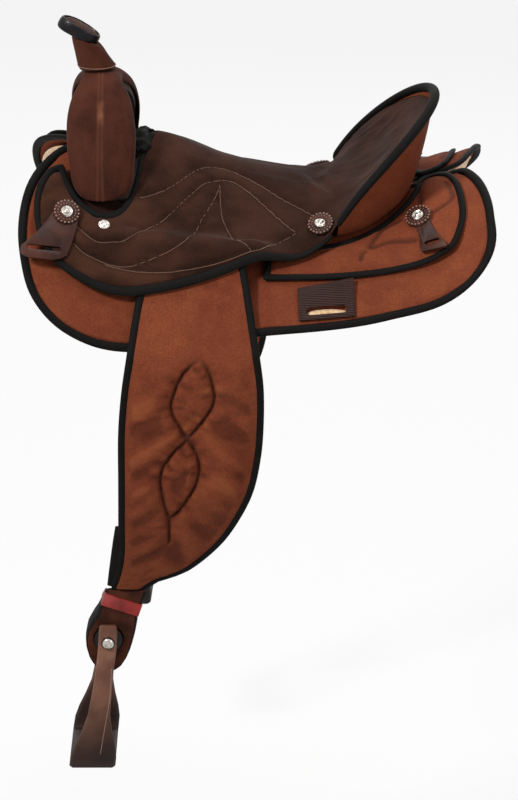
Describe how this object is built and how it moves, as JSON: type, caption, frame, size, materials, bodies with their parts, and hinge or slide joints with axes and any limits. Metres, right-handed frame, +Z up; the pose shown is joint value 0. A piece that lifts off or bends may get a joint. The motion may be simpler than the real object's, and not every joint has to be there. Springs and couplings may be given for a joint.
{
  "type": "western trail saddle",
  "caption": "Western saddle with horn, swell fork, suede seat with cantle, cordura skirts over fleece, quilted fenders and hanging stirrups.",
  "frame": {"origin": "on the centreline, at the top line of the rack or back that carries the saddle, below the seat", "axes": "+X to the rear, -Y to the near side, +Z up"},
  "size_m": [0.6626, 0.6588, 1.03],
  "materials": {
    "cordura": "woven, dull",
    "binding": "woven tape, dull",
    "fleece": "cut pile",
    "silver": "polished",
    "strap": "polished",
    "leather": "satin",
    "red_leather": "satin",
    "suede": "suede nap",
    "stirrup": "satin",
    "dark_leather": "satin",
    "wood": "sawn"
  },
  "bodies": {
    "saddle": {"cantle_back": "cordura", "cantle_binding": "binding", "fleece_near": "fleece", "fleece_off": "fleece", "front_concho_near": "silver", "front_concho_off": "silver", "front_rosette_near": "strap", "front_rosette_off": "strap", "ground_seat": "leather", "horn_band": "binding", "horn_cap": "leather", "horn_neck": "leather", "rear_concho_near": "silver", "rear_concho_off": "silver", "rear_jockey_binding_near": "binding", "rear_jockey_binding_off": "binding", "rear_jockey_near": "cordura", "rear_jockey_off": "cordura", "rear_rosette_near": "strap", "rear_rosette_off": "strap", "rigging_plate_near": "leather", "rigging_plate_off": "leather", "screw_concho_near": "silver", "screw_concho_off": "silver", "seat_binding_near": "binding", "seat_binding_off": "binding", "seat_concho_near": "silver", "seat_concho_off": "silver", "seat_cover": "suede", "seat_rosette_near": "strap", "seat_rosette_off": "strap", "skirt_binding_near": "binding", "skirt_binding_off": "binding", "skirt_near": "cordura", "skirt_off": "cordura", "swell_cover": "leather", "tree_bar_near": "wood", "tree_bar_off": "wood", "tree_cantle": "wood", "tree_fork": "wood"},
    "front_dee_near_body": {"front_dee_near": "strap"},
    "rear_dee_near_body": {"rear_dee_near": "strap"},
    "fender_top_near_body": {"fender_top_near": "cordura"},
    "fender_near_body": {"fender_near": "cordura", "fender_binding_near": "binding", "stirrup_leather_near": "cordura", "hobble_strap_near": "red_leather"},
    "stirrup_near_body": {"stirrup_frame_near": "stirrup", "stirrup_tread_near": "dark_leather", "stirrup_bolt_near": "silver"},
    "front_dee_off_body": {"front_dee_off": "strap"},
    "rear_dee_off_body": {"rear_dee_off": "strap"},
    "fender_top_off_body": {"fender_top_off": "cordura"},
    "fender_off_body": {"fender_off": "cordura", "fender_binding_off": "binding", "stirrup_leather_off": "cordura", "hobble_strap_off": "red_leather"},
    "stirrup_off_body": {"stirrup_frame_off": "stirrup", "stirrup_tread_off": "dark_leather", "stirrup_bolt_off": "silver"}
  },
  "joints": [
    {"name": "fender_swing_near", "type": "hinge", "parent": "saddle", "child": "fender_top_near_body", "pos_m": [-0.132, -0.20704, -0.04663], "axis": [0, -0.7986, 0.6018], "range_deg": [-28, 10]},
    {"name": "fender_lift_near", "type": "hinge", "parent": "fender_top_near_body", "child": "fender_near_body", "pos_m": [-0.19, -0.265, -0.11814], "axis": [-1, 0, 0], "range_deg": [0, 80]},
    {"name": "stirrup_swing_near", "type": "hinge", "parent": "fender_near_body", "child": "stirrup_near_body", "pos_m": [-0.19, -0.26175, -0.53714], "axis": [0, 1, 0], "range_deg": [-60, 60]},
    {"name": "front_dee_turn_near", "type": "hinge", "parent": "saddle", "child": "front_dee_near_body", "pos_m": [-0.244, -0.14406, 0.0505], "axis": [0.192, -0.6919, 0.696], "range_deg": [-10, 10]},
    {"name": "rear_dee_turn_near", "type": "hinge", "parent": "saddle", "child": "rear_dee_near_body", "pos_m": [0.24553, -0.1244, 0.03657], "axis": [-0.3218, -0.4357, 0.8406], "range_deg": [-10, 10]},
    {"name": "fender_swing_off", "type": "hinge", "parent": "saddle", "child": "fender_top_off_body", "pos_m": [-0.132, 0.20704, -0.04663], "axis": [0, 0.7986, 0.6018], "range_deg": [-6.4, 31.6]},
    {"name": "fender_lift_off", "type": "hinge", "parent": "fender_top_off_body", "child": "fender_off_body", "pos_m": [-0.18411, 0.26708, -0.12091], "axis": [0.998, -0.0378, 0.0501], "range_deg": [0, 80]},
    {"name": "stirrup_swing_off", "type": "hinge", "parent": "fender_off_body", "child": "stirrup_off_body", "pos_m": [-0.16322, 0.26344, -0.53938], "axis": [0.0378, 0.9993, 0.0009], "range_deg": [-60, 60]},
    {"name": "front_dee_turn_off", "type": "hinge", "parent": "saddle", "child": "front_dee_off_body", "pos_m": [-0.244, 0.14406, 0.0505], "axis": [0.192, 0.6919, 0.696], "range_deg": [-10, 10]},
    {"name": "rear_dee_turn_off", "type": "hinge", "parent": "saddle", "child": "rear_dee_off_body", "pos_m": [0.24553, 0.1244, 0.03657], "axis": [-0.3218, 0.4357, 0.8406], "range_deg": [-10, 10]}
  ]
}
